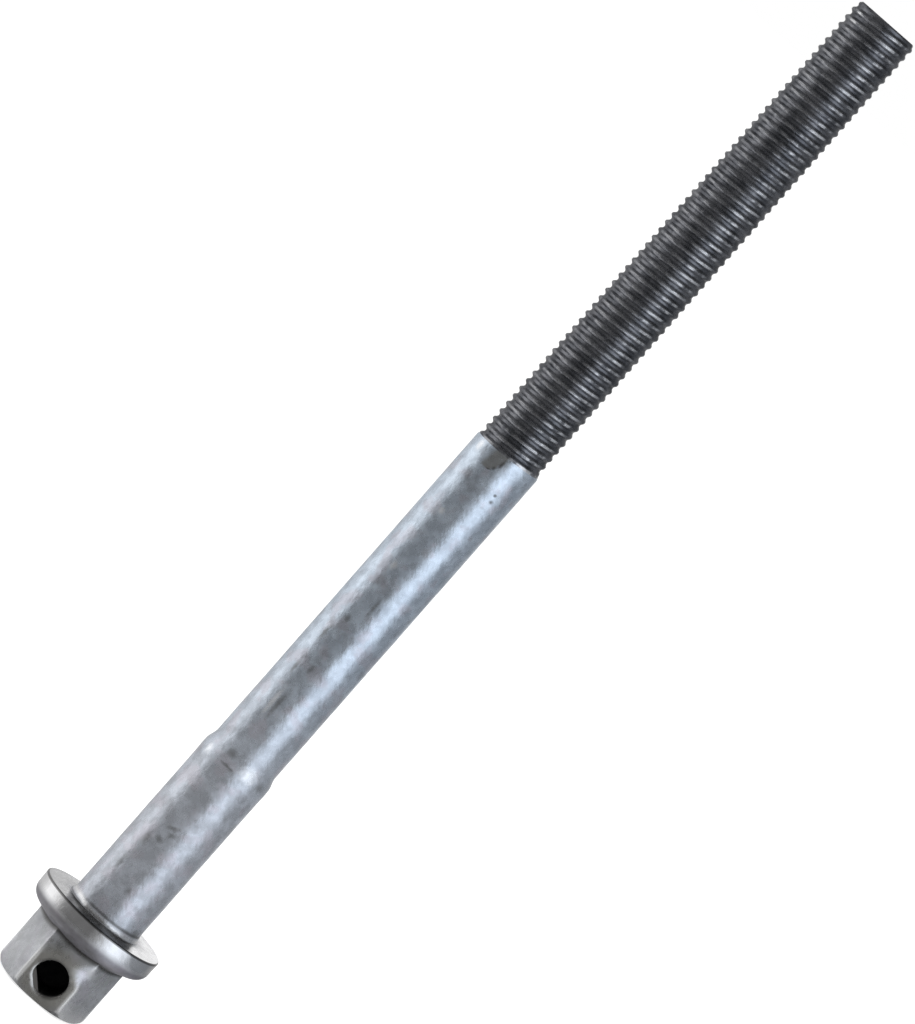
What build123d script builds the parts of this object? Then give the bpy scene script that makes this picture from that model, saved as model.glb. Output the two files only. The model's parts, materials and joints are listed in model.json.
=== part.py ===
from build123d import *
import math
import os

# Flanged hexagon bolt that clamps a cylinder head, forged and rolled from one bar.
# Millimetres.  It stands on its head: the free end face of the hexagon is z = 0, the
# bolt's axis is +Z and the threaded end points up.  The cross hole opens towards -Y.

# Hexagon
hex_across_flats = 19.0         # spanner size
hex_edge_radius = 1.1           # forged rounding of the six long edges
head_height = 20.7              # end face to bearing face
head_end_radius = 2.2           # rounding round the free end
head_end_margin = 0.05          # the rounding starts this far outside the six edges

# Flange
flange_diameter = 29.3          # at the bearing face
flange_top_diameter = 29.0      # at the top of the rim, which has a die draft
flange_height = 6.9             # foot of the hexagon to bearing face
flange_rim_height = 4.8         # rim to bearing face, before its shoulder is rounded
flange_shoulder_radius = 2.5
flange_edge_chamfer = 0.3       # between rim and bearing face

# Cross hole, blind, square to one flat of the hexagon
cross_hole_diameter = 7.5
cross_hole_depth = 12.0         # full bore below the flat
cross_hole_from_end = 5.6       # end face to the hole's axis
cross_hole_countersink = 0.35
drill_point_angle = 118.0       # degrees

# Shank, measured from the bearing face
under_head_length = 238.0       # bearing face to tip
neck_radius = 3.6               # concave neck under the head
neck_height = 2.0
guide_diameter = 16.45          # the thicker stretch that centres the bolt in its hole
guide_length = 41.2             # bearing face to the start of the taper
guide_taper_length = 2.0
shank_diameter = 15.2

# Thread, M15 x 2, kept as the cylinder over its crests
thread_diameter = 14.85
thread_length = 114.0
thread_shoulder_length = 0.4
tip_chamfer = 0.9

# Heights of the main stations above the end face
bearing_z = head_height
hexagon_foot_z = bearing_z - flange_height
tip_z = bearing_z + under_head_length
thread_start_z = tip_z - thread_length


def make_hexagon():
    """The hexagon, rounded along its edges and round its free end, rooted in the flange."""
    root_z = hexagon_foot_z + flange_height / 2
    corner_stretch = 1 / math.cos(math.radians(30))
    sharp_edge_reach = hex_across_flats / 2 * corner_stretch
    edge_reach = sharp_edge_reach - hex_edge_radius * (corner_stretch - 1)

    with BuildPart() as prism:
        with BuildSketch() as outline:
            RegularPolygon(hex_across_flats / 2, side_count=6, major_radius=False)
            fillet(outline.vertices(), radius=hex_edge_radius)
        extrude(amount=root_z)

    with BuildPart() as envelope:
        Cylinder(
            edge_reach + head_end_margin,
            root_z,
            align=(Align.CENTER, Align.CENTER, Align.MIN),
        )
        end_edge = envelope.edges().filter_by(GeomType.CIRCLE).sort_by(Axis.Z)[0]
        fillet(end_edge, radius=head_end_radius)

    return prism.part & envelope.part


def make_turned_body():
    """Flange, neck, guide, shank and threaded end, turned about the bolt's axis."""
    foot_radius = hex_across_flats / 2
    rim_radius = flange_diameter / 2
    rim_top_radius = flange_top_diameter / 2
    rim_top_z = bearing_z - flange_rim_height
    # The cone above the rim is drawn on to the axis, where the hexagon swallows its point
    cone_slope = (rim_top_z - hexagon_foot_z) / (rim_top_radius - foot_radius)
    cone_point_z = hexagon_foot_z - foot_radius * cone_slope
    guide_radius = guide_diameter / 2
    shank_radius = shank_diameter / 2
    thread_radius = thread_diameter / 2
    guide_end_z = bearing_z + guide_length
    neck_sweep = math.degrees(math.asin(neck_height / neck_radius))

    with BuildPart() as body:
        with BuildSketch(Plane.XZ):
            with BuildLine():
                neck = JernArc(
                    start=(guide_radius, bearing_z + neck_height),
                    tangent=(0, -1),
                    radius=neck_radius,
                    arc_size=neck_sweep,
                )
                Polyline(
                    neck @ 1,
                    (rim_radius - flange_edge_chamfer, bearing_z),
                    (rim_radius, bearing_z - flange_edge_chamfer),
                    (rim_top_radius, rim_top_z),
                    (0, cone_point_z),
                    (0, tip_z),
                    (thread_radius - tip_chamfer, tip_z),
                    (thread_radius, tip_z - tip_chamfer),
                    (thread_radius, thread_start_z),
                    (shank_radius, thread_start_z - thread_shoulder_length),
                    (shank_radius, guide_end_z + guide_taper_length),
                    (guide_radius, guide_end_z),
                    neck @ 0,
                )
            make_face()
        revolve(axis=Axis.Z)

        rings = body.edges().filter_by(GeomType.CIRCLE)
        shoulder = rings.sort_by_distance((rim_top_radius, 0, rim_top_z))[0]
        fillet(shoulder, radius=flange_shoulder_radius)

    return body.part


def make_cross_drill():
    """What the drill and its countersink take away, from the mouth at -Y inwards."""
    hole_radius = cross_hole_diameter / 2
    mouth_radius = hole_radius + cross_hole_countersink
    point_height = hole_radius / math.tan(math.radians(drill_point_angle / 2))
    mouth = Plane(
        origin=(0, -hex_across_flats / 2, cross_hole_from_end),
        z_dir=(0, 1, 0),
    )

    with BuildPart() as drill:
        with BuildSketch(Plane.XZ):
            with BuildLine():
                Polyline(
                    (0, -cross_hole_countersink),
                    (mouth_radius + cross_hole_countersink, -cross_hole_countersink),
                    (hole_radius, cross_hole_countersink),
                    (hole_radius, cross_hole_depth),
                    (0, cross_hole_depth + point_height),
                    close=True,
                )
            make_face()
        revolve(axis=Axis.Z)

    return drill.part.moved(mouth.location)


def make_head_bolt():
    """The whole bolt as one solid."""
    return make_hexagon() + make_turned_body() - make_cross_drill()


os.makedirs("parts", exist_ok=True)
export_step(make_head_bolt(), "parts/head_bolt.step")
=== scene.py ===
# %% [markdown]
# # A flanged cylinder head bolt
#
# This lesson dresses one long engine bolt, a single piece of steel: a hexagon and flange are
# forged onto a bar, the shank is drawn down, the thread is rolled in, and the whole is zinc
# plated.  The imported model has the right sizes, but its thread is a plain cylinder and its
# surfaces are smooth.  Here one closed mesh takes its place, with the real helix and the small
# unevenness of forged metal.  All sizes are millimetres until a mesh is made.

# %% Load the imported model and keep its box
import json
import math
from functools import cached_property

import bmesh
import bpy
from mathutils import Matrix, Vector, noise


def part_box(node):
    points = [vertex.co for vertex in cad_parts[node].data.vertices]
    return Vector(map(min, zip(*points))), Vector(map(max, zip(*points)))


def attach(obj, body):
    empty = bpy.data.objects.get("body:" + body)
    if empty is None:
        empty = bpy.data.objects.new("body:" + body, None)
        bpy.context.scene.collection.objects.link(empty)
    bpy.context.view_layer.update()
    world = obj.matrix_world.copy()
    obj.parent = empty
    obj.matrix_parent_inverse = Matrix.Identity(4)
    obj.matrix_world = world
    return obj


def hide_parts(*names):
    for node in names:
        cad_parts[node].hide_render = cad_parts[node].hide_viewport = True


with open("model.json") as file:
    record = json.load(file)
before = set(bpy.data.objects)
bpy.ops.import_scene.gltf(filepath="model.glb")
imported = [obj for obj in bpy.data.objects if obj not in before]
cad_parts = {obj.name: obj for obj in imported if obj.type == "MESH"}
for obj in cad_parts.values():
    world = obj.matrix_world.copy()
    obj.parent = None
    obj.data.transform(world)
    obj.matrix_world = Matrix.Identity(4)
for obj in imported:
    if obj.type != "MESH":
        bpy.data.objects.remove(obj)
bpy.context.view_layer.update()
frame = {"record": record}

MM = 0.001
TURN = 2 * math.pi
NODE = "head_bolt"
node_low, node_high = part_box(NODE)
print("box of the packed bolt, mm:", [round(c / MM, 2) for c in (*node_low, *node_high)])

# %% [markdown]
# ## Stations along the bolt
#
# The bolt stands on its head, so the free end of the hexagon is at zero and the thread points
# up.  The heights of the tip and the bearing face, the hole and the diameters that fit other
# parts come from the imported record, so the looks can't drift away from the model.

# %% Read the stations and fits from the record
mounts = {mount["name"]: mount for mount in frame["record"]["mounts"]}
tip_z = node_high.z / MM
bearing_z = mounts["bearing_face"]["pos_m"][2] / MM
guide_radius = mounts["guide"]["dims"]["r_mm"]
crest_radius = mounts["threaded_end"]["dims"]["r_mm"]
hole_radius = mounts["cross_hole"]["dims"]["r_mm"]
hole_z = mounts["cross_hole"]["pos_m"][2] / MM
print("bearing face at", round(bearing_z, 2), "tip at", round(tip_z, 2))

# %% Name the remaining sizes of the head and shank
hex_half_flats = 9.5  # axis to flat
hex_edge_radius = 0.50  # forged rounding of the long edges
end_rounding = 2.2  # round the free end of the hexagon
end_margin = 0.05

flange_radius = node_high.x / MM
flange_top_radius = flange_radius - 0.15  # the rim has a little die draft
flange_shoulder = 2.5
flange_corner = 0.35  # the rim's lower corner
rim_top_z = bearing_z - 4.8
hexagon_foot_z = bearing_z - 6.9
foot_fillet = 0.45

neck_radius = 3.6
neck_height = 2.0
guide_end_z = bearing_z + 41.2
taper_length = 2.0
shank_radius = 7.6

pitch = 2.0
thread_length = 114.0
thread_start_z = tip_z - thread_length
thread_depth = 0.63
tip_chamfer = 0.9

# %% [markdown]
# ## Columns round the axis
#
# The bolt is built ring after ring, and every ring has the same columns, so nothing has to be
# stitched.  The hexagon decides where they stand: each flat needs its two ends exactly on a
# column, and the rounded edge between two flats needs a few close together.
#
# One long edge has been knocked next to the flange.  A knock on forged steel leaves no cut:
# it beats the edge down to a wider rounding, widest at the middle of the knock.

# %% Place the columns and describe the hexagon
CORNER_HALF_TURN = math.radians(30)
flat_half_length = (hex_half_flats - hex_edge_radius) * math.tan(CORNER_HALF_TURN)
flat_half_angle = math.atan(flat_half_length / hex_half_flats)
edge_half_angle = CORNER_HALF_TURN - flat_half_angle
edge_centre = (hex_half_flats - hex_edge_radius) / math.cos(CORNER_HALF_TURN)
edge_reach = edge_centre + hex_edge_radius

FLAT_STEPS = 12
HALF_EDGE_STEPS = 2


def smooth(value, low, high):
    """0 below low, 1 above high, and a soft S between them."""
    share = min(max((value - low) / (high - low), 0.0), 1.0)
    return share * share * (3 - 2 * share)


def closer_at_ends(share):
    """Spreads even steps so that they stand closer together near both ends of a flat."""
    return 0.5 * share + 0.25 * (1 - math.cos(math.pi * share))


def make_columns():
    """Angles round the axis, from one rounded edge to the next, six times over."""
    angles = []
    for side in range(6):
        corner = math.radians(60 * side)
        for step in range(HALF_EDGE_STEPS):
            angles.append(corner + edge_half_angle * step / HALF_EDGE_STEPS)
        for step in range(FLAT_STEPS):
            share = closer_at_ends(step / FLAT_STEPS)
            angles.append(corner + edge_half_angle + 2 * flat_half_angle * share)
        for step in range(HALF_EDGE_STEPS, 0, -1):
            angles.append(corner + math.radians(60) - edge_half_angle * step / HALF_EDGE_STEPS)
    return angles


def from_nearest_corner(angle):
    """How far round it is to the nearest corner; the corners are at 0, 60, 120 degrees."""
    return abs((angle + CORNER_HALF_TURN) % math.radians(60) - CORNER_HALF_TURN)


def turn_from(start, angle):
    """The turn from one angle to another, at most half a turn either way."""
    return (angle - start + math.pi) % TURN - math.pi


def rounded_hexagon_radius(angle, edge_radius):
    """Distance from the axis to a hexagon whose long edges are rounded."""
    from_corner = from_nearest_corner(angle)
    centre = (hex_half_flats - edge_radius) / math.cos(CORNER_HALF_TURN)
    flat_end = math.atan(centre * math.sin(CORNER_HALF_TURN) / hex_half_flats)
    if from_corner >= CORNER_HALF_TURN - flat_end:
        return hex_half_flats / math.cos(CORNER_HALF_TURN - from_corner)
    sideways = centre * math.sin(from_corner)
    return centre * math.cos(from_corner) + math.sqrt(edge_radius**2 - sideways**2)


knock_corner = math.radians(-60)  # the drilled flat faces -90 degrees
knock_z = 10.2
knock_half_height = 3.6
knock_edge_radius = 8.0


def knock_share(height):
    """1 at the middle of the knock, 0 where the edge is whole."""
    return smooth(1 - abs(height - knock_z) / knock_half_height, 0.0, 1.0)


def hexagon_radius(angle, height=0.0):
    """The hexagon's radius; one edge has been beaten to a wider rounding by the knock."""
    if abs(turn_from(knock_corner, angle)) > CORNER_HALF_TURN:
        return rounded_hexagon_radius(angle, hex_edge_radius)
    wider = (knock_edge_radius - hex_edge_radius) * knock_share(height)
    return rounded_hexagon_radius(angle, hex_edge_radius + wider)


columns = make_columns()
print(len(columns), "columns; the hexagon reaches", round(edge_reach, 3), "mm")

# %% [markdown]
# ## Small helpers for profiles
#
# A turned profile is straight lines joined by arcs, so one helper rounds its corners.

# %% Round a corner of a profile
def rounded(before, corner, after, radius, steps):
    """Points of the arc that rounds a corner of a profile."""
    corner = Vector(corner)
    to_before = (Vector(before) - corner).normalized()
    to_after = (Vector(after) - corner).normalized()
    half = to_before.angle(to_after) / 2
    centre = corner + (to_before + to_after).normalized() * (radius / math.sin(half))
    first = corner + to_before * (radius / math.tan(half)) - centre
    last = corner + to_after * (radius / math.tan(half)) - centre
    sweep = math.atan2(first.cross(last), first.dot(last))
    turns = [Matrix.Rotation(sweep * step / steps, 2) for step in range(steps + 1)]
    return [centre + turn @ first for turn in turns]


# %% [markdown]
# ## The surface of forged and drawn metal
#
# Drawing and plating leave a shank faintly wavy, a few hundredths of a millimetre deep.  The
# waves break a long straight reflection into the uneven streaks that make steel look like
# steel.  They are modelled in the mesh, from noise that gives the same value each time.

# %% Describe the unevenness of the surface
def ripple(angle, height, size, seed):
    """Noise from -1 to 1 on the bolt's surface, with waves about this size in mm."""
    reach = shank_radius / size
    place = Vector((reach * math.cos(angle), reach * math.sin(angle), height / size + 7 * seed))
    return noise.noise(place)


def unevenness(angle, height):
    """How far the drawn surface stands out, in mm."""
    twisted = angle + height * 0.03
    return 0.030 * ripple(twisted, height * 0.45, 4.2, 1) + 0.012 * ripple(angle, height, 2.1, 2)


# %% [markdown]
# ## The rings of the head
#
# The rounding of the free end is a turned shape that stops where it meets each flat, early at
# the middle of the flat and late at the corners.  If every column divides its own stretch of
# arc into the same number of steps, the curved line where the two meet stays crisp.

# %% Make the rings from the free end to the foot of the hexagon
rings = []  # each ring is one (radius, height) for every column


def add_ring(radius, height):
    """A plain round ring."""
    rings.append([(radius, height)] * len(columns))


def add_shaped_ring(place):
    """A ring whose radius and height depend on the column's angle."""
    rings.append([place(angle) for angle in columns])


end_reach = edge_reach + end_margin
end_flat_radius = end_reach - end_rounding
cone_slope = (rim_top_z - hexagon_foot_z) / (flange_top_radius - hex_half_flats)
END_STEPS = 7
WALL_STEPS = 16


def end_arc_point(angle, share):
    """A point of the end rounding, a share of the way from the flat end to the wall."""
    full = math.asin((hexagon_radius(angle) - end_flat_radius) / end_rounding)
    tilt = share * full
    return end_flat_radius + end_rounding * math.sin(tilt), end_rounding * (1 - math.cos(tilt))


def foot_corner(angle):
    """Where the wall of the hexagon meets the flange's cone."""
    radius = hexagon_radius(angle, hexagon_foot_z)
    return Vector((radius, hexagon_foot_z + (radius - hex_half_flats) * cone_slope))


def foot_arc(angle):
    """The small fillet between the hexagon and the flange."""
    corner = foot_corner(angle)
    return rounded(corner - Vector((0, 3)), corner, corner + Vector((3, 3 * cone_slope)), foot_fillet, 3)


def wall_point(angle, share):
    """A point of the hexagon's wall between the end rounding and the foot fillet."""
    start = end_arc_point(angle, 1.0)[1]
    height = start + (foot_arc(angle)[0].y - start) * share
    return hexagon_radius(angle, height), height


for ring_radius in (3.0, 6.0, end_flat_radius):
    add_ring(ring_radius, 0.0)
for end_step in range(1, END_STEPS + 1):
    add_shaped_ring(lambda angle: end_arc_point(angle, end_step / END_STEPS))
for wall_step in range(1, WALL_STEPS):
    add_shaped_ring(lambda angle: wall_point(angle, wall_step / WALL_STEPS))
for foot_step in range(4):
    add_shaped_ring(lambda angle: tuple(foot_arc(angle)[foot_step]))
print(len(rings), "rings up to the foot of the hexagon")

# %% [markdown]
# ## Flange, neck, guide and shank
#
# From the flange on, the bolt is a turned shape.  Only the cone over the flange starts from the
# hexagon's outline, so its first rings slide from six-sided to round.  A concave neck leads
# into the guide, the slightly thicker stretch that centres the bolt in its hole.  Drawing the
# shank down left a soft swelling just before the step.

# %% Make the rings of the flange
rim_top = (flange_top_radius, rim_top_z)
rim_foot = (flange_radius, bearing_z)
shoulder_arc = rounded((hex_half_flats, hexagon_foot_z), rim_top, rim_foot, flange_shoulder, 9)
CONE_STEPS = 4


def cone_point(angle, share):
    """A point of the cone, from the foot fillet out to the shoulder of the flange."""
    return tuple(foot_arc(angle)[-1].lerp(shoulder_arc[0], share))


for cone_step in range(1, CONE_STEPS):
    add_shaped_ring(lambda angle: cone_point(angle, cone_step / CONE_STEPS))
corner_arc = rounded(rim_top, rim_foot, (guide_radius, bearing_z), flange_corner, 4)
rim_points = [shoulder_arc[-1].lerp(corner_arc[0], share) for share in (0.35, 0.7, 0.92)]
for point in (*shoulder_arc, *rim_points, *corner_arc):
    add_ring(point.x, point.y)

# %% Make the rings of the bearing face and the neck
neck_turn = math.asin(neck_height / neck_radius)
neck_foot_radius = guide_radius + neck_radius * (1 - math.cos(neck_turn))
NECK_STEPS = 7

for share in (0.15, 0.3, 0.45, 0.6, 0.8):
    add_ring(flange_radius + (neck_foot_radius - flange_radius) * share, bearing_z)
for neck_step in range(NECK_STEPS + 1):
    tilt = neck_turn * (1 - neck_step / NECK_STEPS)
    outwards = neck_radius * (1 - math.cos(tilt))
    add_ring(guide_radius + outwards, bearing_z + neck_height - neck_radius * math.sin(tilt))
print(len(rings), "rings up to the top of the neck")

# %% [markdown]
# The thread's first turn climbs as it goes round, so the shoulder where the shank stops leans
# by half a millimetre.  Next to it a shallow patch is pressed into the shank, dull and
# rounded at its far end, where the rolling dies first touched the bar.

# %% Describe the guide's swelling, the leaning shoulder and the pressed patch
swelling_z = guide_end_z - 1.4
swelling = 0.06
swelling_width = 1.6
shoulder_lean = 0.27  # each way, over the whole bolt
shoulder_shift = -0.35  # the first turn cuts a little into the shank
shoulder_width = 0.35
lean_reach = 7.0

patch_middle = math.radians(-104)
patch_half_width = math.radians(18)
patch_length = 4.4
patch_depth = 0.16
patch_edge = 0.35


def lean(angle):
    """How much higher the thread begins on this side of the bolt."""
    return shoulder_shift + shoulder_lean * (1 + math.cos(angle))


def patch_place(angle, height):
    """How far inside the patch's sides, past its middle and below the thread a point is, in mm."""
    below = thread_start_z + lean(angle) - height
    along = max(below, 0.0) / patch_length
    # The patch narrows to a round end and leans over with the thread
    shifted = turn_from(patch_middle, angle) + patch_half_width * 0.35 * along
    width = patch_half_width * math.sqrt(max(1 - along**2.6, 0.0))
    return (width - abs(shifted)) * shank_radius, shifted * shank_radius, below


def patch_share(angle, height):
    """1 inside the pressed patch, 0 outside; one long side is sharp, the other soft."""
    inside, past_middle, below = patch_place(angle, height)
    if below <= 0:
        return 0.0
    edge = patch_edge * (1 + 3 * smooth(-past_middle, 0.0, 1.5))
    fading = 1 - 0.85 * smooth(-past_middle, -0.2, 2.2)
    return fading * smooth(inside, -edge / 2, edge / 2) * smooth(patch_length - below, 0, patch_edge)


def patch_rim_shade_share(angle, height):
    """1 along the patch's sharp side and its round end, where shade is painted against the edge."""
    inside, past_middle, below = patch_place(angle, height)
    if below <= 0:
        return 0.0
    round_end = smooth(below, 0.6 * patch_length, 0.85 * patch_length)
    rim = max(smooth(past_middle, -0.4, 0.8), round_end)
    rim *= smooth(past_middle, -1.5, -0.3) * (1 - smooth(below, patch_length, patch_length + 0.3))
    return rim * smooth(inside, -0.7, 0.0) * (1 - smooth(inside, 0.0, 0.7))


def shank_radius_at(angle, height):
    """Radius of the guide, the step or the shank, with its unevenness."""
    taper = smooth(height, guide_end_z - 0.2, guide_end_z + taper_length + 0.8)
    radius = guide_radius + (shank_radius - guide_radius) * taper
    bulge = swelling * math.exp(-(((height - swelling_z) / swelling_width) ** 2))
    settle = smooth(height, bearing_z + neck_height, bearing_z + neck_height + 3)
    pressed = patch_depth * patch_share(angle, height)
    return radius + bulge * (1 - taper) + settle * unevenness(angle, height) - pressed


def shank_point(angle, height):
    """A point of the shank; near the thread the rings lean with its shoulder."""
    leaning = smooth(height, thread_start_z - lean_reach, thread_start_z - 1.0)
    raised = height + lean(angle) * leaning
    return shank_radius_at(angle, raised), raised


# %% Make the rings of the guide and the shank
def shoulder_point(angle):
    """The last point of the shank, where the shoulder of the thread begins."""
    height = thread_start_z + lean(angle) - shoulder_width
    return shank_radius_at(angle, height) - 0.03, height


# (where a stretch ends, spacing of its rings)
stretches = [
    (bearing_z + neck_height + 3, 0.3),
    (guide_end_z - 4, 1.1),
    (guide_end_z + taper_length + 1, 0.35),
    (thread_start_z - lean_reach, 1.1),
    (thread_start_z - shoulder_width - 0.15, 0.3),
]
stretch_start = bearing_z + neck_height
for stretch_end, spacing in stretches:
    count = round((stretch_end - stretch_start) / spacing)
    for step in range(1, count + 1):
        height = stretch_start + (stretch_end - stretch_start) * step / count
        add_shaped_ring(lambda angle: shank_point(angle, height))
    stretch_start = stretch_end
add_shaped_ring(shoulder_point)
print(len(rings), "rings up to the shoulder of the thread")

# %% [markdown]
# ## The rolled thread
#
# A thread faked with bump has no outline, and one cut with a swept tooth is slow and fragile.
# Here each ring simply climbs by one pitch as it goes round, so that its last column meets the
# first column of the ring one turn higher.  Ten such rings per turn trace the profile: a
# rounded root, straight flanks, and a crest with the faint seam that rolling leaves.

# %% Describe one pitch of the thread
# (share of the pitch, depth below the crest in mm)
flank = [(0.045, 0.0), (0.115, 0.045), (0.32, thread_depth - 0.130), (0.4, thread_depth - 0.035)]
other_flank = [(1 - share, depth) for share, depth in reversed(flank)]
thread_profile = [(0.0, 0.040), *flank, (0.5, thread_depth), *other_flank]
run_out = 0.6  # the first groove deepens over this height
RINGS_PER_TURN = len(thread_profile)
helix_offset = 0.75  # where the first groove begins
crest_wear = 0.20  # on the +X side, where neighbours have rubbed
turns = math.ceil(thread_length / pitch) + 3


def groove_depth(share):
    """Depth below the crest at any share of the pitch, between the named points."""
    points = thread_profile + [(1.0, thread_profile[0][1])]
    for (low, low_depth), (high, high_depth) in zip(points, points[1:]):
        if share <= high:
            return low_depth + (high_depth - low_depth) * (share - low) / (high - low)


def thread_radius(angle, height, depth):
    """Radius at this depth, with the run-out at the shank and the chamfer at the tip."""
    start = thread_start_z + lean(angle)
    fade = smooth(height, start, start + run_out)
    crest = crest_radius + 0.018 * ripple(angle, height, 3.0, 3)
    crest -= crest_wear * smooth(math.cos(angle), 0.5, 1.0) * (1 - depth / thread_depth) * fade
    chamfer = crest_radius - tip_chamfer + (tip_z - height)
    return min(crest - depth * fade, chamfer)


def thread_point(angle, turn, share, depth):
    """A point of the helix, held between the shoulder and the end face."""
    low = thread_start_z + lean(angle)
    height = thread_start_z + helix_offset + pitch * (turn + share + angle / TURN)
    if height <= low:
        return thread_radius(angle, low, 0.0), low
    if height >= tip_z:
        at_tip = (tip_z - thread_start_z - helix_offset) / pitch - angle / TURN
        return thread_radius(angle, tip_z, groove_depth(at_tip % 1.0)), tip_z
    return thread_radius(angle, height, depth), height


# %% Make the climbing rings of the thread
first_climbing = len(rings)
for turn in range(-3, turns):
    for share, depth in thread_profile:
        rings.append([thread_point(angle, turn, share, depth) for angle in columns])
last_ring = len(rings) - 1
print(last_ring - first_climbing + 1, "climbing rings for", thread_length / pitch, "turns")

# %% [markdown]
# ## One closed mesh
#
# Neighbouring rings are joined by four-sided faces.  Rings of the thread that would start
# below the shoulder or end past the tip are squeezed flat onto it, so points that fall on the
# same place are shared, and a face is kept only where three different corners are left.

# %% Join the rings into a mesh
def new_object(name, data):
    """An object that puts a mesh, a lamp or a camera into the scene."""
    made = bpy.data.objects.new(name, data)
    bpy.context.scene.collection.objects.link(made)
    return made


points = []
point_index = {}


def point_at(ring, column):
    """Index of a point; past the last column a climbing ring goes on one turn higher."""
    if column == len(columns):
        column = 0
        if ring >= first_climbing:
            ring = min(ring + RINGS_PER_TURN, last_ring)
    radius, height = rings[ring][column]
    angle = columns[column]
    place = (radius * math.cos(angle), radius * math.sin(angle), height)
    key = tuple(round(c, 5) for c in place)
    if key not in point_index:
        point_index[key] = len(points)
        points.append(place)
    return point_index[key]


def add_face(corners):
    """Adds a face without repeated corners, if at least three are left."""
    kept = [corner for k, corner in enumerate(corners) if corner != corners[k - 1]]
    if len(set(kept)) > 2:
        faces.append(kept)


faces = []
for column in range(len(columns)):
    for ring in range(last_ring):
        below = [point_at(ring, column), point_at(ring, column + 1)]
        above = [point_at(ring + 1, column + 1), point_at(ring + 1, column)]
        add_face(below + above)

for ring, height in ((0, 0.0), (last_ring, tip_z)):
    middle = len(points)
    points.append((0.0, 0.0, height))
    for column in range(len(columns)):
        corners = [middle, point_at(ring, column), point_at(ring, column + 1)]
        add_face(corners if ring else corners[::-1])

bolt_mesh = bpy.data.meshes.new("head_bolt_dressed")
bolt_mesh.from_pydata([[c * MM for c in point] for point in points], [], faces)
bolt = new_object("head_bolt_dressed", bolt_mesh)


def open_edges(mesh):
    """How many edges don't have exactly two faces; 0 means that the mesh is closed."""
    check = bmesh.new()
    check.from_mesh(mesh)
    count = sum(1 for edge in check.edges if len(edge.link_faces) != 2)
    check.free()
    return count


print(len(points), "points,", len(faces), "faces and", open_edges(bolt_mesh), "open edges")

# %% [markdown]
# ## The cross hole
#
# A blind hole is drilled square into one flat.  The drill's own shape is modelled, with the
# cone of its point and a slight countersink, and subtracted exactly, which keeps the rim of
# the hole round on the flat.

# %% Turn shapes on a lathe
LATHE_STEPS = 96


def lathe(corners, centre, axis):
    """A shape turned from a line of corners."""
    shape = bmesh.new()
    corners = [shape.verts.new(corner) for corner in corners]
    edges = [shape.edges.new(pair) for pair in zip(corners, corners[1:])]
    how = {"cent": centre, "axis": axis, "angle": TURN, "steps": LATHE_STEPS, "use_merge": True}
    bmesh.ops.spin(shape, geom=corners + edges, **how)
    bmesh.ops.remove_doubles(shape, verts=shape.verts, dist=1e-7)
    return shape


def keep_as_object(shape, name):
    """Turns a shape under construction into an object."""
    mesh = bpy.data.meshes.new(name)
    shape.to_mesh(mesh)
    shape.free()
    return new_object(name, mesh)


# %% Describe the drill and the lip in the hole's mouth
hole_depth = 12.0
countersink = 0.35
countersink_shift = Vector((-0.22, 0, -0.20))  # it was cut a little off centre
lip_towards = Vector((-1, 0, -1)).normalized()  # a lip of metal stands into the mouth here
lip_reach = 2.75  # from the hole's axis to the lip
lip_slope = 2.2  # the lip's face leans out this much for each mm of depth
lip_top = 0.61  # depth where the sloping face ends and the lip is upright
lip_depth = 1.4
drill_point_half_angle = math.radians(59)
# (distance from the drill's axis, depth below the flat)
drill_profile = [
    (0.0, -2.0),
    (hole_radius + countersink, -2.0),
    (hole_radius + countersink, 0.0),
    (hole_radius + 0.14, 0.11),
    (hole_radius + 0.04, 0.24),
    *((hole_radius, depth) for depth in (0.4, lip_top, lip_depth, lip_depth + 0.3, hole_depth)),
    (0.0, hole_depth + hole_radius / math.tan(drill_point_half_angle)),
]


def lip_limit(depth):
    """How far the hole may reach towards the lip at this depth."""
    return lip_reach + max(lip_top - depth, 0) * lip_slope + max(depth - lip_depth, 0) * 2


def make_drill():
    """The drilled shape, closed, pointing along +Y from the flat."""
    corners = [(r * MM, (depth - hex_half_flats) * MM, hole_z * MM) for r, depth in drill_profile]
    shape = lathe(corners, (0, 0, hole_z * MM), (0, 1, 0))
    for corner in shape.verts:
        from_axis = math.hypot(corner.co.x, corner.co.z - hole_z * MM) / MM
        corner.co += countersink_shift * MM * smooth(from_axis, hole_radius, hole_radius + countersink)
        reach = (corner.co / MM - Vector((0, 0, hole_z))).dot(lip_towards)
        too_far = max(reach - lip_limit(corner.co.y / MM + hex_half_flats), 0)
        corner.co -= lip_towards * too_far * MM
    bmesh.ops.recalc_face_normals(shape, faces=shape.faces)
    return keep_as_object(shape, "drill")


# %% Take the drill away from the bolt
def apply_modifiers(piece):
    """Keeps what the modifiers make as the piece's own mesh."""
    shown = piece.evaluated_get(bpy.context.evaluated_depsgraph_get())
    mesh = bpy.data.meshes.new_from_object(shown)
    old = piece.data
    piece.modifiers.clear()
    piece.data = mesh
    bpy.data.meshes.remove(old)


drill = make_drill()
cut = bolt.modifiers.new("cross hole", "BOOLEAN")
cut.operation = "DIFFERENCE"
cut.solver = "EXACT"
cut.object = drill
apply_modifiers(bolt)
bpy.data.objects.remove(drill)
print("after drilling:", len(bolt.data.polygons), "faces,", open_edges(bolt.data), "open edges")

# %% [markdown]
# ## Regions and marks
#
# One plating covers the bolt, but it is greyer on the forged head, bluish and bright on the
# drawn shank, dark in the rolled thread, and down the hole it is painted nearly black as shade.
# Each stretch gets its own material on the same mesh.  Where one finish fades into another, a
# mark painted on the points is better than a hard border.

# %% Sort the faces into regions
HEAD, SHANK, THREAD, HOLE = range(4)
hole_dark_from = 0.22  # depth from which the hole is painted dark as shade


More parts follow.
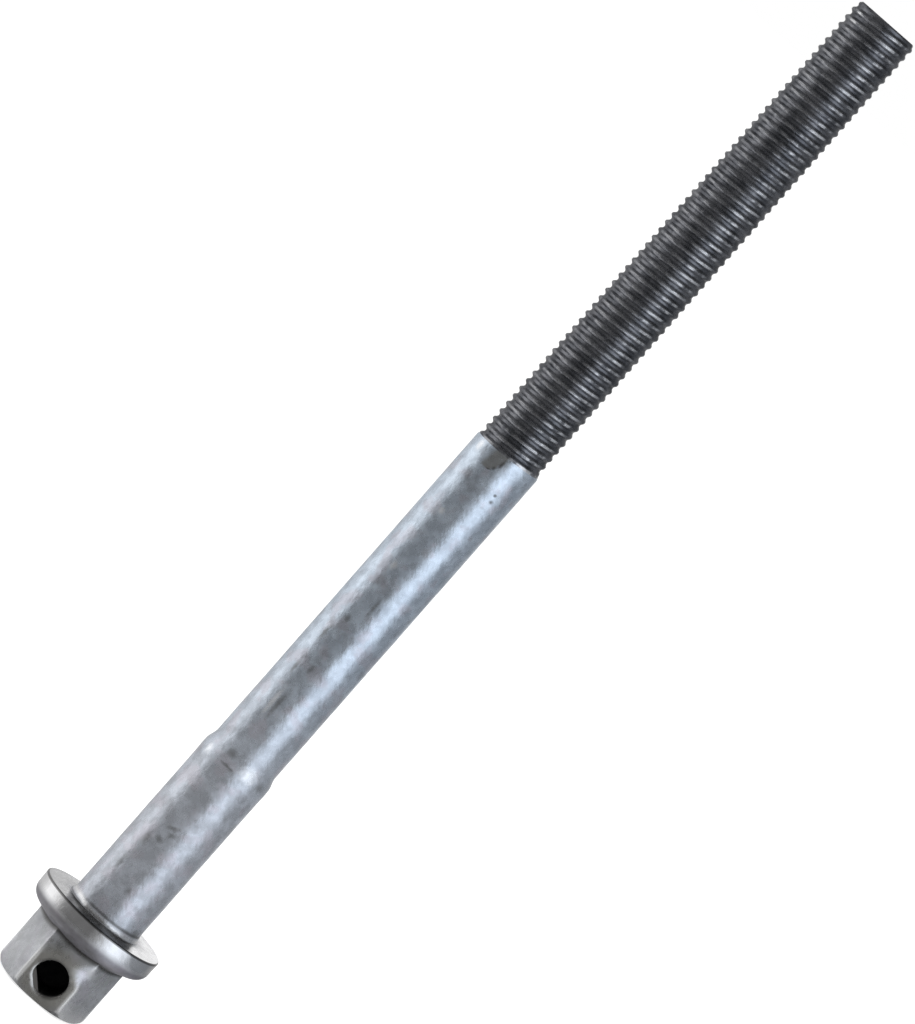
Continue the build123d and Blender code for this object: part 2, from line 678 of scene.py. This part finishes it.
def region_of(face):
    """Which stretch of the bolt a face belongs to."""
    centre = face.center / MM
    from_hole = math.hypot(centre.x, centre.z - hole_z)
    if from_hole < hole_radius + 0.02 and hole_dark_from < centre.y + hex_half_flats < hole_depth + 3:
        return HOLE
    if centre.z < bearing_z + 0.001:
        return HEAD
    angle = math.atan2(centre.y, centre.x)
    return THREAD if centre.z > thread_start_z + lean(angle) else SHANK


for face in bolt.data.polygons:
    face.material_index = region_of(face)
regions = [face.material_index for face in bolt.data.polygons]
print("faces of head, shank, thread and hole:", [regions.count(region) for region in range(4)])

# %% Describe painted shade, bright metal and painted highlights on the flange and the neck
ABOUT_LEVEL = 0.01  # a point this near the bearing face lies on it


def neck_side(angle, radius):
    """0 over most of the neck, 1 on its -X side, where the painted highlight band runs higher."""
    return smooth(-radius * math.cos(angle), 3.0, 7.0)


def painted_shade_at(angle, radius, height):
    """Painted shade in the corner round the hexagon's foot, along the rim's corner and round the neck."""
    crease = foot_corner(angle)
    from_crease = math.hypot(radius - crease.x, height - crease.y)
    round_hexagon = max(1 - smooth(from_crease, 0.15, 0.75), 0.25 * (1 - smooth(from_crease, 0.5, 4.5)))
    if height < bearing_z - ABOUT_LEVEL:
        on_the_corner = radius > flange_radius - flange_corner and height > corner_arc[0].y - 0.01
        return 0.75 if on_the_corner else round_hexagon
    # Painted shade on the bearing face next to the neck
    if height < bearing_z + ABOUT_LEVEL:
        return 0.2 * (1 - smooth(radius, 9.2, 10.2))
    other_side = neck_side(angle, radius)
    ring = math.exp(-(((height - bearing_z - 1.5) / 0.35) ** 2))
    foot = 1 - smooth(height, bearing_z + 0.1, bearing_z + 0.7)
    return max(0.8 * ring * (1 - 0.8 * other_side), 0.85 * foot * other_side)


def polish_and_highlight_at(angle, radius, height):
    """Bright turned metal on the rim of the flange and the bearing face, and a painted highlight band round
    the foot of the neck.
    """
    if height < bearing_z - ABOUT_LEVEL:
        rim = smooth(radius, flange_radius - 1.3, flange_radius - 0.5)
        return rim * smooth(height, rim_top_z + 0.8, rim_top_z + 2.6)
    if height < bearing_z + ABOUT_LEVEL:
        return 0.9 * smooth(radius, 9.2, 10.4)
    band_z = bearing_z + 0.35 + 0.75 * neck_side(angle, radius)
    return math.exp(-(((height - band_z) / 0.55) ** 2))


def skin_at(angle, radius, height):
    """The duller forged skin that is left on the cone and the shoulder of the flange."""
    past_the_crease = smooth(radius - foot_corner(angle).x, 0.0, 0.5) * (height > hexagon_foot_z)
    return past_the_crease * (1 - smooth(height, rim_top_z + 0.9, rim_top_z + 2.8))


# %% Describe wear on the hexagon's edges and oil round the hole
def worn_edge_and_highlight_at(angle, height):
    """How near a point is to one of the hexagon's long edges, away from the knock: worn edges, with a
    painted highlight along them.
    """
    if not end_rounding / 2 < height < hexagon_foot_z:
        return 0.0
    apart = from_nearest_corner(angle)
    if abs(angle + math.pi / 2) < CORNER_HALF_TURN:
        apart *= 0.55  # round the drilled flat the painted highlight reaches further in
    near_knock = abs(angle - knock_corner) < CORNER_HALF_TURN
    whole = 0.75 * (1 - knock_share(height)) if near_knock else 1 - 0.7 * smooth(height, 6.5, 11.5)
    return whole * (1 - smooth(apart / edge_half_angle, 0.9, 1.9))


def mouth_at(place, from_hole):
    """How far a point is in the hole's countersink, and how far it faces the lip there."""
    in_mouth = 1 - smooth(from_hole, hole_radius + 0.3, hole_radius + 0.9)
    facing_lip = Vector((place.x, 0, place.z - hole_z)).normalized().dot(lip_towards)
    return in_mouth, smooth(facing_lip, 0.4, 0.85)


def oil_at(place, from_hole):
    """Oil has crept out of the hole over the drilled flat."""
    on_the_flat = smooth(-place.y, hex_half_flats - 0.5, hex_half_flats - 0.1)
    return on_the_flat * (1 - smooth(from_hole, 4.0, 9.0)) * (place.z < hexagon_foot_z)


# %% Paint the marks on the points
FAR_AWAY = 99.0


def marks_at(place):
    """The strength of every mark at one place on the bolt."""
    angle = math.atan2(place.y, place.x)
    radius = math.hypot(place.x, place.y)
    on_the_drilled_side = place.z < hexagon_foot_z and place.y < 0
    from_hole = math.hypot(place.x, place.z - hole_z) if on_the_drilled_side else FAR_AWAY
    in_mouth, facing_lip = mouth_at(place, from_hole)
    return {
        "pressed": patch_share(angle, place.z),
        "patch_rim": patch_rim_shade_share(angle, place.z),
        # Round the hole's mouth the side away from the lip gets painted shade, the side facing the lip a
        # painted highlight
        "grime": max(painted_shade_at(angle, radius, place.z), 0.55 * in_mouth * (1 - facing_lip)),
        "polish": max(polish_and_highlight_at(angle, radius, place.z), 0.3 * in_mouth * facing_lip),
        "skin": skin_at(angle, radius, place.z),
        "edge": worn_edge_and_highlight_at(angle, place.z),
        "oil": oil_at(place, from_hole),
        # Painted shade on the bearing face on the -Y side, where the shank's dark reflection and shadow
        # fall
        "under_shank": float(abs(place.z - bearing_z) < 0.12 and place.y < 0),
    }


marks = [marks_at(vertex.co / MM) for vertex in bolt.data.vertices]
for mark_name in marks[0]:
    values = [at_point[mark_name] for at_point in marks]
    bolt.data.attributes.new(mark_name, "FLOAT", "POINT").data.foreach_set("value", values)
print("marks:", *marks[0])

# %% Shade the bolt smoothly and say what it stands for
bolt.data.set_sharp_from_angle(angle=math.radians(40))
for polygon in bolt.data.polygons:
    polygon.use_smooth = True
weigh = bolt.modifiers.new("weighted normals", "WEIGHTED_NORMAL")
weigh.keep_sharp = True
apply_modifiers(bolt)

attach(bolt, "root")
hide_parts(NODE)

# %% [markdown]
# ## Zinc plated steel
#
# Plating is metal all over, so everything is in its colour, its roughness and its fine relief.
# Blotches a few millimetres wide change colour and gloss, because passivated zinc clouds
# unevenly.  Streaks lie across the shank at a slant, where the bolt rubbed against others, and
# soft relief bends the reflections.  A small kit keeps the recipes short: each of its words
# makes one node and gives back the socket with the result.

# %% A small kit for node trees
class Nodes:
    """A node tree with the usual nodes within reach."""

    def __init__(self, tree):
        self.tree = tree

    def feed(self, socket, value):
        """Links a socket to another one's result, or sets it to a plain value."""
        if hasattr(value, "is_output"):
            self.tree.links.new(value, socket)
        elif socket.type == "RGBA":
            socket.default_value = (*value, 1)
        else:
            socket.default_value = value

    def node(self, kind, inputs=(), **settings):
        """A node with its inputs fed and its settings made."""
        node = self.tree.nodes.new("ShaderNode" + kind)
        for key, value in settings.items():
            setattr(node, key, value)
        for name, value in dict(inputs).items():
            self.feed(node.inputs[name], value)
        return node

    def range(self, value, low, high, start=0.0, end=1.0, kind="SMOOTHSTEP"):
        """Maps low..high of a value to start..end, without overshoot."""
        ends = {"Value": value, "From Min": low, "From Max": high, "To Min": start, "To Max": end}
        return self.node("MapRange", ends, interpolation_type=kind).outputs["Result"]

    def mix(self, share, first, second, blend="MIX"):
        """Mixes two colours, each a socket or plain red, green and blue."""
        colours = {0: share, 6: first, 7: second}
        return self.node("Mix", colours, data_type="RGBA", blend_type=blend).outputs[2]

    def math(self, operation, first, second):
        return self.node("Math", {0: first, 1: second}, operation=operation).outputs[0]

    def times(self, first, second):
        return self.math("MULTIPLY", first, second)

    def length(self, vector):
        return self.node("VectorMath", {0: vector}, operation="LENGTH").outputs["Value"]


# %% The same kit for a material, with places in mm
class Finish(Nodes):
    """A material under construction; its colour is covered layer by layer."""

    def __init__(self, name):
        self.material = bpy.data.materials.new(name)
        self.material.use_nodes = True
        super().__init__(self.material.node_tree)
        self.shader = self.tree.nodes["Principled BSDF"]
        self.output = self.tree.nodes["Material Output"].inputs["Surface"]

    @cached_property
    def place(self):
        """Where a point lies on the piece, in mm."""
        local = self.node("TexCoord").outputs["Object"]
        return self.node("VectorMath", {0: local, "Scale": 1 / MM}, operation="SCALE").outputs[0]

    @cached_property
    def ragged(self):
        """Fine noise round zero that frays the edge of a spot."""
        return self.math("SUBTRACT", self.noise(0.9, detail=3.0, rough=0.6), 0.5)

    def surface(self, values):
        """Feeds sockets of the shader and gives back the material."""
        for name, value in values.items():
            self.feed(self.shader.inputs[name], value)
        return self.material

    def cover(self, share, tone, blend="MIX"):
        """Covers this share of the colour so far with a tone."""
        self.colour = self.mix(share, self.colour, tone, blend)

    def axis(self, name):
        """One coordinate of the place in mm: X, Y or Z."""
        return self.node("SeparateXYZ", {0: self.place}).outputs[name]

    def mark(self, name):
        """A mark painted on the mesh's points."""
        return self.node("Attribute", attribute_name=name).outputs["Fac"]

    def moved(self, scale, turn, middle=(0, 0, 0)):
        """Places measured from a middle, turned, and counted in steps of this size."""
        how = {"Vector": self.place, "Location": middle, "Rotation": turn, "Scale": scale}
        return self.node("Mapping", how, vector_type="TEXTURE").outputs[0]

    def noise(self, size, detail=2.0, rough=0.5, where=None):
        """Noise with blotches about this size in mm."""
        how = {"Vector": where or self.place, "Scale": 1 / size, "Detail": detail, "Roughness": rough}
        return self.node("TexNoise", how).outputs["Fac"]

    def clouds(self, size, low, high, start=0.0, end=1.0, **how):
        """Noise whose values from low to high are spread from start to end."""
        return self.range(self.noise(size, **how), low, high, start, end)

    def scuff(self, from_axis, degrees, height, width, length, slant=0):
        """A spot with a ragged edge, given by its half width and half length in mm.

        degrees go round from the middle of the drilled flat."""
        facing = math.radians(degrees - 90)
        middle = (from_axis * math.cos(facing), from_axis * math.sin(facing), height)
        turn = (math.radians(slant), 0, facing)
        reach = self.length(self.moved((2.5, width, length), turn, middle))
        return self.range(self.math("ADD", reach, self.ragged), 0.1, 1.1, 1.0, 0.0)

    def bump(self, height, depth, **under):
        """Relief of this depth in mm."""
        how = {"Strength": 1.0, "Distance": depth * MM, "Height": height, **under}
        return self.node("Bump", how).outputs["Normal"]


# %% The clouded plating, with its tones, streaks and relief
# Near black, for painted shade and for grease in the pits
SHADE_AND_GREASE = (0.09, 0.088, 0.085)
SCUFFED = (0.26, 0.27, 0.28)
OILED = (0.40, 0.39, 0.36)
DULL_SKIN = (0.54, 0.52, 0.54)
STREAK_TURN = (math.radians(32), math.radians(-42), 0)


def plated_steel(name, bright, dull, metal, rough, wave_depth, scuffs):
    """Zinc plating that clouds from bright tones to dull ones, with the painted marks on it.

    bright, dull and metal each hold two values: next to the head, and out along the shank."""
    finish = Finish(name)
    outwards = finish.range(finish.axis("Z"), 45, 105)
    dull_tone = finish.mix(outwards, *dull)
    leaning = finish.moved((1.0, 1.0, 2.6), STREAK_TURN)
    finish.colour = finish.mix(outwards, *bright)
    finish.cover(finish.clouds(3.4, 0.38, 0.62, detail=4.0, rough=0.6), dull_tone)
    finish.cover(finish.clouds(1.3, 0.52, 0.70, 0.0, 0.45, detail=3.0, where=leaning), dull_tone)
    finish.cover(finish.clouds(4.0, 0.5, 0.66, 0.0, 0.45), (0.58, 0.55, 0.61))
    finish.cover(finish.clouds(5.0, 0.60, 0.70, 0.0, 0.4, detail=3.0), (0.33, 0.34, 0.37))
    for tone, share, places in scuffs:
        for place in places:
            finish.cover(finish.times(finish.scuff(*place), share), tone)

    # Worn edges with a painted highlight along them: lighter and less metallic
    wear_and_glint = finish.range(finish.mark("edge"), 0.1, 0.9)
    skin = finish.mark("skin")
    polish_and_highlight_share = finish.mark("polish")
    finish.cover(finish.range(finish.mark("oil"), 0.0, 1.0, 0.0, 0.9), OILED)
    finish.cover(finish.times(wear_and_glint, 0.5), (0.72, 0.73, 0.74))
    finish.cover(skin, DULL_SKIN, blend="MULTIPLY")
    # Bright turned metal, with painted highlights on the neck and in the hole's mouth
    finish.cover(polish_and_highlight_share, (0.90, 0.90, 0.91))
    finish.cover(finish.range(finish.mark("pressed"), 0.2, 0.9, 0.0, 0.85), (0.31, 0.31, 0.30))
    # Painted shade along the pressed patch's sharp side and round end
    finish.cover(finish.range(finish.mark("patch_rim"), 0.2, 1.0, 0.0, 0.8), SHADE_AND_GREASE)
    # Painted shade in the crease, along the rim's corner, round the neck and in the hole's mouth
    finish.cover(finish.range(finish.mark("grime"), 0.0, 1.0, 0.0, 0.95), SHADE_AND_GREASE)
    # Painted shade, near black, on the bearing face in front of the shank and as wide as it
    sideways = finish.math("ABSOLUTE", finish.axis("X"), 0.0)
    as_wide_as_shank = finish.range(finish.math("ADD", sideways, finish.ragged), 7.4, 9.0, 0.9, 0.0)
    finish.cover(finish.times(finish.mark("under_shank"), as_wide_as_shank), (0.085, 0.083, 0.08))

    gloss = finish.clouds(1.8, 0.35, 0.65, *rough, detail=3.0)
    gloss = finish.times(gloss, finish.range(polish_and_highlight_share, 0.0, 1.0, 1.0, 0.65))
    metallic = finish.range(outwards, 0.0, 1.0, *metal)
    metallic = finish.math("ADD", metallic, finish.times(polish_and_highlight_share, 0.2))
    waves = finish.bump(finish.noise(2.2, detail=3.0, where=leaning), wave_depth)
    return finish.surface({
        "Base Color": finish.colour,
        "Roughness": finish.math("ADD", gloss, finish.times(skin, 0.2)),
        "Metallic": finish.math("SUBTRACT", metallic, finish.times(wear_and_glint, 0.3)),
        "Normal": finish.bump(finish.noise(0.28), 0.007, Normal=waves),
        "Specular Tint": (0.8, 0.8, 0.8),  # plating is no perfect mirror at a glancing angle
    })


# %% [markdown]
# Handling has left dark smudges on the shank, a few bright rubbed spots and two small pits; the bright
# spots in the two highlight bands are painted glints.
# Each is placed one by one, by how far round and how far up it lies, and its ragged edge comes from
# noise.

# %% The plating of the shank
# (degrees round, height, half width, half length, slant), in degrees and mm
dark_scuffs = [
    (-15, 41.2, 1.2, 0.9), (-9, 44.7, 2.0, 0.8, 25), (-5, 43.3, 1.2, 1.2), (0, 29.2, 1.0, 1.0),
    (-37, 32.5, 1.0, 2.9), (-30, 39.5, 1.2, 2.3), (58, 22.8, 1.8, 1.4), (-12, 61.3, 2.8, 0.6),
    (-12, 61.3, 2.3, 0.35), (-17, 63.8, 1.5, 1.3), (51, 61.8, 1.8, 1.5), (-16, 77.3, 0.8, 4.9),
    (-36, 85.4, 0.7, 2.6), (-36, 94.4, 0.7, 2.7), (-23, 99.5, 0.9, 1.3), (-2, 104.5, 0.6, 2.4),
    (-13, 87.0, 0.7, 1.2),
]
# Rubbed spots; those at -53, -50 and 23 degrees lie in the highlight bands and are painted glints
rubbed_spots_and_glints = [
    (-53, 61.3, 1.3, 1.6), (-25, 77.3, 0.7, 4.7), (-23, 128.1, 1.0, 1.0),
    (-23, 113.7, 1.0, 1.4), (-50, 143.0, 1.3, 1.6), (23, 62.5, 2.8, 2.2),
]
pits = [(26, 135.8, 0.7, 0.65), (24, 137.3, 0.5, 0.5)]


def at_radius(radius, places):
    """Puts a distance from the axis before the rest of each place."""
    return [(radius, *place) for place in places]


shank_plating = plated_steel(
    "drawn shank plating",
    bright=((0.585, 0.62, 0.685), (0.70, 0.79, 0.90)),
    dull=((0.46, 0.485, 0.53), (0.55, 0.62, 0.71)),
    metal=(0.76, 0.89),
    rough=(0.19, 0.34),
    wave_depth=0.17,
    scuffs=(
        (SCUFFED, 0.75, at_radius(shank_radius, dark_scuffs)),
        ((0.90, 0.93, 0.98), 0.9, at_radius(shank_radius, rubbed_spots_and_glints)),
        (SHADE_AND_GREASE, 0.8, at_radius(shank_radius, pits)),
    ),
)

# %% The plating of the head
# Painted shade that darkens the flat on the -X side, the flat on the +X side by the free end and the -X
# side of the rim
# (distance from the axis, degrees round, height, half width, half length)
shaded_places = [
    (hex_half_flats, -60, 9.0, 8.0, 15.0),
    (hex_half_flats, 60, 2.0, 7.0, 6.5),
    (flange_radius, -62, 18.5, 8.0, 4.5),
]
head_stains = at_radius(hex_half_flats, [(-17, 11.3, 2.6, 2.4), (18, 1.0, 3.0, 2.6)])
head_plating = plated_steel(
    "forged head plating",
    bright=[(0.62, 0.63, 0.66)] * 2,
    dull=[(0.50, 0.51, 0.52)] * 2,
    metal=(0.85, 0.85),
    rough=(0.24, 0.36),
    wave_depth=0.10,
    scuffs=(((0.35, 0.36, 0.375), 0.6, shaded_places), (SCUFFED, 0.8, head_stains)),
)

# %% [markdown]
# ## The rolled thread's finish
#
# In the thread the plating is thin and dark with the oil and dust that it traps, and only the
# crests, polished by handling, shine.  The distance from the axis says how deep in a groove a
# point lies, so it drives the colour.

# %% The dark thread
# Painted glints on crests near the tip, in the two highlight bands
glinting_crests = [(26, 254.8), (26, 256.8), (-50, 254.3), (-50, 256.4)]  # degrees round, height


def rolled_thread():
    finish = Finish("rolled thread")
    flat = finish.node("CombineXYZ", {"X": finish.axis("X"), "Y": finish.axis("Y")})
    crest = finish.range(finish.length(flat.outputs[0]), crest_radius - 0.24, crest_radius - 0.03)
    finish.colour = finish.mix(
        finish.clouds(3.0, 0.35, 0.65, detail=3.0), (0.12, 0.125, 0.14), (0.23, 0.235, 0.255)
    )
    # Painted highlight: the crests are brighter on the +X side, the lit side, than on the other
    lit_side = finish.range(finish.axis("X"), 0.0, 4.0)
    crest_tone = finish.mix(lit_side, (0.36, 0.365, 0.385), (0.90, 0.91, 0.94))
    finish.cover(finish.times(crest, finish.clouds(2.0, 0.38, 0.60, 0.05, 1.0, detail=3.0)), crest_tone)
    for degrees, height in glinting_crests:
        wear_and_glint = finish.scuff(crest_radius, degrees, height, 1.4, 0.6)
        finish.cover(finish.times(wear_and_glint, crest), (0.95, 0.96, 0.98))
    along = finish.moved((1.0, 1.0, 0.25), (0, 0, 0))
    return finish.surface({
        "Base Color": finish.colour,
        "Roughness": finish.clouds(1.3, 0.35, 0.65, 0.13, 0.32, detail=3.0),
        "Metallic": 0.92,
        "Specular Tint": (0.5, 0.5, 0.5),
        "Normal": finish.bump(finish.noise(1.2, detail=3.0, where=along), 0.07),
    })


# %% The hole, painted dark as its shade
def dark_hole():
    finish = Finish("oily hole")
    # Painted shade: darker deeper down the hole
    depth = finish.range(finish.axis("Y"), -hex_half_flats + countersink, -hex_half_flats + 2.5)
    speckled = finish.mix(finish.clouds(1.5, 0.3, 0.7), (0.006, 0.006, 0.006), (0.014, 0.013, 0.013))
    across = finish.moved((3.0, 1.0, 3.0), (0, 0, 0))
    return finish.surface({
        "Base Color": finish.mix(depth, (0.07, 0.068, 0.066), speckled),
        "Metallic": 0.0,
        "Roughness": 0.6,
        "Specular IOR Level": 0.15,
        "Normal": finish.bump(finish.noise(0.5, where=across), 0.03),
    })


for material in (head_plating, shank_plating, rolled_thread(), dark_hole()):
    bolt.data.materials.append(material)
print("finishes:", [material.name for material in bolt.data.materials])

# %% [markdown]
# ## A floor and a studio round the bolt
#
# Bare metal shows what stands round it.  The bolt stands on a white floor in a white world,
# and for its reflections it also gets a tent that only its metal can see: a sheet on the floor
# and a wall round it, with bright panels at both sides of the camera and a dark gap where the
# camera itself stands.

# %% Make the white world
WHITE = (1, 1, 1)


def white_where_reflected(nodes, plain, kind, target):
    """White where metal or glass reflects or passes it, and the plain light otherwise."""
    path = nodes.node("LightPath").outputs
    seen = nodes.math("MAXIMUM", path["Is Glossy Ray"], path["Is Transmission Ray"])
    white = nodes.node(kind, {"Color": WHITE, "Strength": 1.0})
    both = nodes.node("MixShader", {0: seen, 1: plain.outputs[0], 2: white.outputs[0]})
    nodes.feed(target, both.outputs[0])


world = bpy.data.worlds.new("studio")
bpy.context.scene.world = world
world.use_nodes = True
sky = Nodes(world.node_tree)
background = sky.tree.nodes["Background"]
sky.feed(background.inputs["Color"], WHITE)
sky.feed(background.inputs["Strength"], 1.0)
white_where_reflected(sky, background, "Background", sky.tree.nodes["World Output"].inputs["Surface"])

# %% Lay the floor
floor_size = 40.0
floor_gap = 0.00002  # keeps the floor and the end face from flickering into each other
bpy.ops.mesh.primitive_plane_add(size=floor_size, location=(0, 0, node_low.z - floor_gap))
floor = bpy.context.object
floor.name = "floor"
paper = Finish("white floor")
paper.surface({"Base Color": (0.5, 0.5, 0.5), "Roughness": 1.0, "Specular IOR Level": 0.0})
paper_glow = paper.node("Emission", {"Strength": 0.6})
both = paper.node("AddShader", {0: paper.shader.outputs[0], 1: paper_glow.outputs[0]})
white_where_reflected(paper, both, "Emission", paper.output)
floor.data.materials.append(paper.material)

# %% Describe the light round the tent
NEUTRAL, COOL = (1.0, 1.0, 1.0), (0.94, 1.0, 1.08)
cool_from, cool_to = 33, 125
# (degrees from the camera towards the bolt's right, brightness)
panorama = [
    (-180, 0.60), (-150, 0.66), (-122, 0.64), (-102, 1.02), (-84, 0.98), (-58, 0.20),
    (-44, 0.13), (4, 0.12), (14, 0.25), (33, 0.95), (42, 1.12), (54, 1.02), (65, 0.82),
    (82, 0.22), (125, 0.19), (150, 0.40), (180, 0.60),
]
brightest = 1.1 * max(level for _, level in panorama)
tent_foot_front = 0.11  # brightness close round the bolt, on the camera's side
tent_foot_sides = 0.62  # and to both sides of it
tent_foot_reach = (13, 30)  # mm from the axis where the panorama takes over
tent_foot_turn = 7 / 360  # the dark side of the foot is turned by 7 degrees
tent_top_share = 0.22  # the brightness left at the top of the wall and overhead
camera_side = math.radians(-1.75)

# %% Put up the reflection tent
tent_inner = 9.0  # hidden under the head
tent_reach = 1500.0
tent_wall = 1400.0
tent_gap = 0.05  # the sheet lies this far above the floor


def panorama_ramp(finish, around):
    """Colours of the panorama, each tone a share of the brightest."""
    levels = finish.node("ValToRGB", {"Fac": around})
    ramp = levels.color_ramp
    for stop, (degrees, level) in enumerate(panorama):
        tint = COOL if cool_from <= degrees <= cool_to else NEUTRAL
        position = 0.5 + degrees / 360
        element = ramp.elements[0] if stop == 0 else ramp.elements.new(position)
        element.position = position
        element.color = (*(level / brightest * part for part in tint), 1)
    while len(ramp.elements) > len(panorama):
        ramp.elements.remove(ramp.elements[-1])
    return levels.outputs["Color"]


def tent_finish():
    """Light whose brightness follows the panorama round the tent."""
    finish = Finish("reflection tent")
    finish.tree.nodes.remove(finish.shader)
    around = finish.node("TexGradient", {"Vector": finish.place}, gradient_type="RADIAL").outputs["Fac"]
    near = finish.range(finish.length(finish.place), *tent_foot_reach, 1.0, 0.0, kind="LINEAR")
    from_front = finish.math("PINGPONG", finish.math("SUBTRACT", around, tent_foot_turn), 0.5)
    foot_tones = [tone / brightest for tone in (tent_foot_sides, tent_foot_front)]
    foot = finish.range(from_front, 0.5 - 50 / 360, 0.5 - 26 / 360, *foot_tones)
    wall = (0.6 * tent_wall, 0.95 * tent_wall, brightest, brightest * tent_top_share)
    glow = {
        "Color": finish.mix(near, panorama_ramp(finish, around), foot),
        "Strength": finish.range(finish.axis("Z"), *wall),
    }
    finish.feed(finish.output, finish.node("Emission", glow).outputs[0])
    return finish.material


tent_profile = [(tent_inner, tent_gap), (tent_reach, tent_gap), (tent_reach, tent_wall), (0.0, tent_wall)]
tent_shape = lathe([(radius * MM, 0, height * MM) for radius, height in tent_profile], (0, 0, 0), (0, 0, 1))
tent = keep_as_object(tent_shape, "reflection_tent")
tent.rotation_euler.z = camera_side - math.radians(90)
tent.data.materials.append(tent_finish())
for seen_by in ("camera", "diffuse", "transmission", "volume_scatter", "shadow"):
    setattr(tent, "visible_" + seen_by, False)


# %% Hang two soft lamps
def soft_lamp(name, place, size, power):
    """A square softbox that faces the bolt."""
    light = bpy.data.lights.new(name, "AREA")
    light.size = size
    light.energy = power
    lamp = new_object(name, light)
    lamp.location = place
    lamp.rotation_euler = (-Vector(place)).to_track_quat("-Z", "Y").to_euler()
    lamp.visible_glossy = False


soft_lamp("top softbox", (-0.25, -0.2, 1.1), 1.0, 7.0)
soft_lamp("side softbox", (0.9, -0.3, 0.8), 0.7, 3.0)

# %% [markdown]
# ## The camera
#
# The camera stands well back with a long lens, level with the tip of the bolt and looking a
# little down, and it is rolled so that the bolt lies across the picture from corner to corner.

# %% Place the camera
camera_distance = 1285.9 * MM
camera_height = 258.15 * MM
aim = Vector((-0.2 * MM, 0, 129.3 * MM))
camera_roll = math.radians(41.3)

camera_data = bpy.data.cameras.new("camera")
camera_data.lens = 227.5
camera_data.clip_start = 0.05
camera_data.clip_end = 50
camera = new_object("camera", camera_data)
aside = camera_distance * math.sin(camera_side)
camera.location = (aim.x + aside, -camera_distance * math.cos(camera_side), camera_height)
camera.rotation_euler = (camera.location - aim).to_track_quat("Z", "Y").to_euler()
camera.rotation_euler.rotate_axis("Z", camera_roll)
bpy.context.scene.camera = camera
bpy.context.scene.view_settings.view_transform = "Standard"
print("the camera stands", round(camera_distance / MM), "mm from the bolt's axis")
